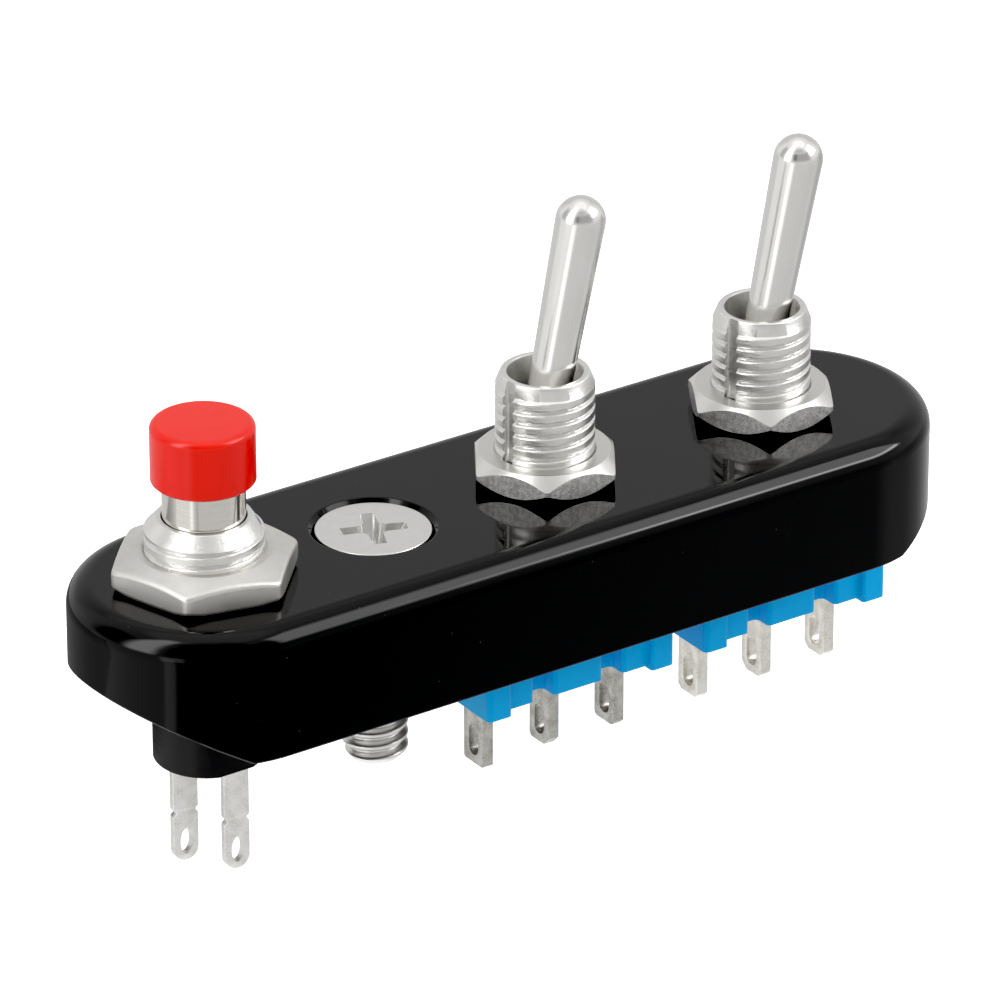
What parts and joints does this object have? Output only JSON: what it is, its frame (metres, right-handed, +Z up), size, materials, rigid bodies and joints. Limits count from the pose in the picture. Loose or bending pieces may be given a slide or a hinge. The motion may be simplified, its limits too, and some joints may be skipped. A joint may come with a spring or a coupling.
{
  "type": "handlebar switch",
  "caption": "Slim billet switch housing for a handlebar, with toggle levers and a sprung push button, solder terminals underneath and one countersunk clamp screw.",
  "frame": {"origin": "on the clamp screw's axis, in the plane of the housing's underside", "axes": "+X along the housing from the push button towards the toggles, +Z up out of the housing's top face, +Y completes the right-handed set"},
  "size_m": [0.0574, 0.0164, 0.0356],
  "materials": {
    "housing": "gloss black anodised billet aluminium",
    "screw": "zinc-plated steel",
    "toggle_metal": "nickel-plated brass",
    "lever_chrome": "nickel-plated brass, polished",
    "frame_steel": "tin-plated steel sheet",
    "case": "blue moulded thermoset, semi-gloss",
    "nylon": "natural nylon",
    "spring_steel": "bright spring wire",
    "contact_copper": "copper strip",
    "terminal": "silver-plated brass, slightly dull",
    "button_metal": "nickel-plated brass",
    "plunger_chrome": "nickel-plated brass",
    "cap": "red moulded plastic",
    "base": "black moulded thermoset"
  },
  "bodies": {
    "body": {"housing": "housing", "clamp_screw": "screw", "toggle_1_bushing": "toggle_metal", "toggle_1_nut": "toggle_metal", "toggle_1_frame": "frame_steel", "toggle_1_case": "case", "toggle_1_terminal_a": "terminal", "toggle_1_terminal_b": "terminal", "toggle_1_terminal_c": "terminal", "toggle_2_bushing": "toggle_metal", "toggle_2_nut": "toggle_metal", "toggle_2_frame": "frame_steel", "toggle_2_case": "case", "toggle_2_terminal_a": "terminal", "toggle_2_terminal_b": "terminal", "toggle_2_terminal_c": "terminal", "button_bushing": "button_metal", "button_nut": "button_metal", "button_spring": "spring_steel", "button_base": "base", "button_lug_a": "terminal", "button_lug_b": "terminal"},
    "button": {"button_cap": "cap", "button_plunger": "plunger_chrome", "button_pusher": "base", "button_bridge": "contact_copper"},
    "lever_1": {"toggle_1_lever": "lever_chrome", "toggle_1_lever_spring": "spring_steel", "toggle_1_lever_tip": "nylon"},
    "rocker_1": {"toggle_1_rocker": "contact_copper"},
    "lever_2": {"toggle_2_lever": "lever_chrome", "toggle_2_lever_spring": "spring_steel", "toggle_2_lever_tip": "nylon"},
    "rocker_2": {"toggle_2_rocker": "contact_copper"}
  },
  "joints": [
    {"name": "button_press", "type": "slide", "parent": "body", "child": "button", "axis": [0, 0, 1], "range_m": [-0.0012, 0], "stiffness_N_per_m": 250, "springref_m": 0.004, "deforming": ["button_spring"]},
    {"name": "lever_1_throw", "type": "hinge", "parent": "body", "child": "lever_1", "pos_m": [0.012, 0, 0.012], "axis": [0, 1, 0], "range_deg": [-24, 0]},
    {"name": "rocker_1_tilt", "type": "hinge", "parent": "body", "child": "rocker_1", "pos_m": [0.012, 0, 0.00195], "axis": [0, 1, 0], "range_deg": [0, 20]},
    {"name": "lever_2_throw", "type": "hinge", "parent": "body", "child": "lever_2", "pos_m": [0.02755, 0, 0.012], "axis": [0, 1, 0], "range_deg": [-24, 0]},
    {"name": "rocker_2_tilt", "type": "hinge", "parent": "body", "child": "rocker_2", "pos_m": [0.02755, 0, 0.00195], "axis": [0, 1, 0], "range_deg": [0, 20]}
  ],
  "couplings": [
    {"joint": "rocker_1_tilt", "follows": "lever_1_throw", "ratio": -0.8333},
    {"joint": "rocker_2_tilt", "follows": "lever_2_throw", "ratio": -0.8333}
  ]
}
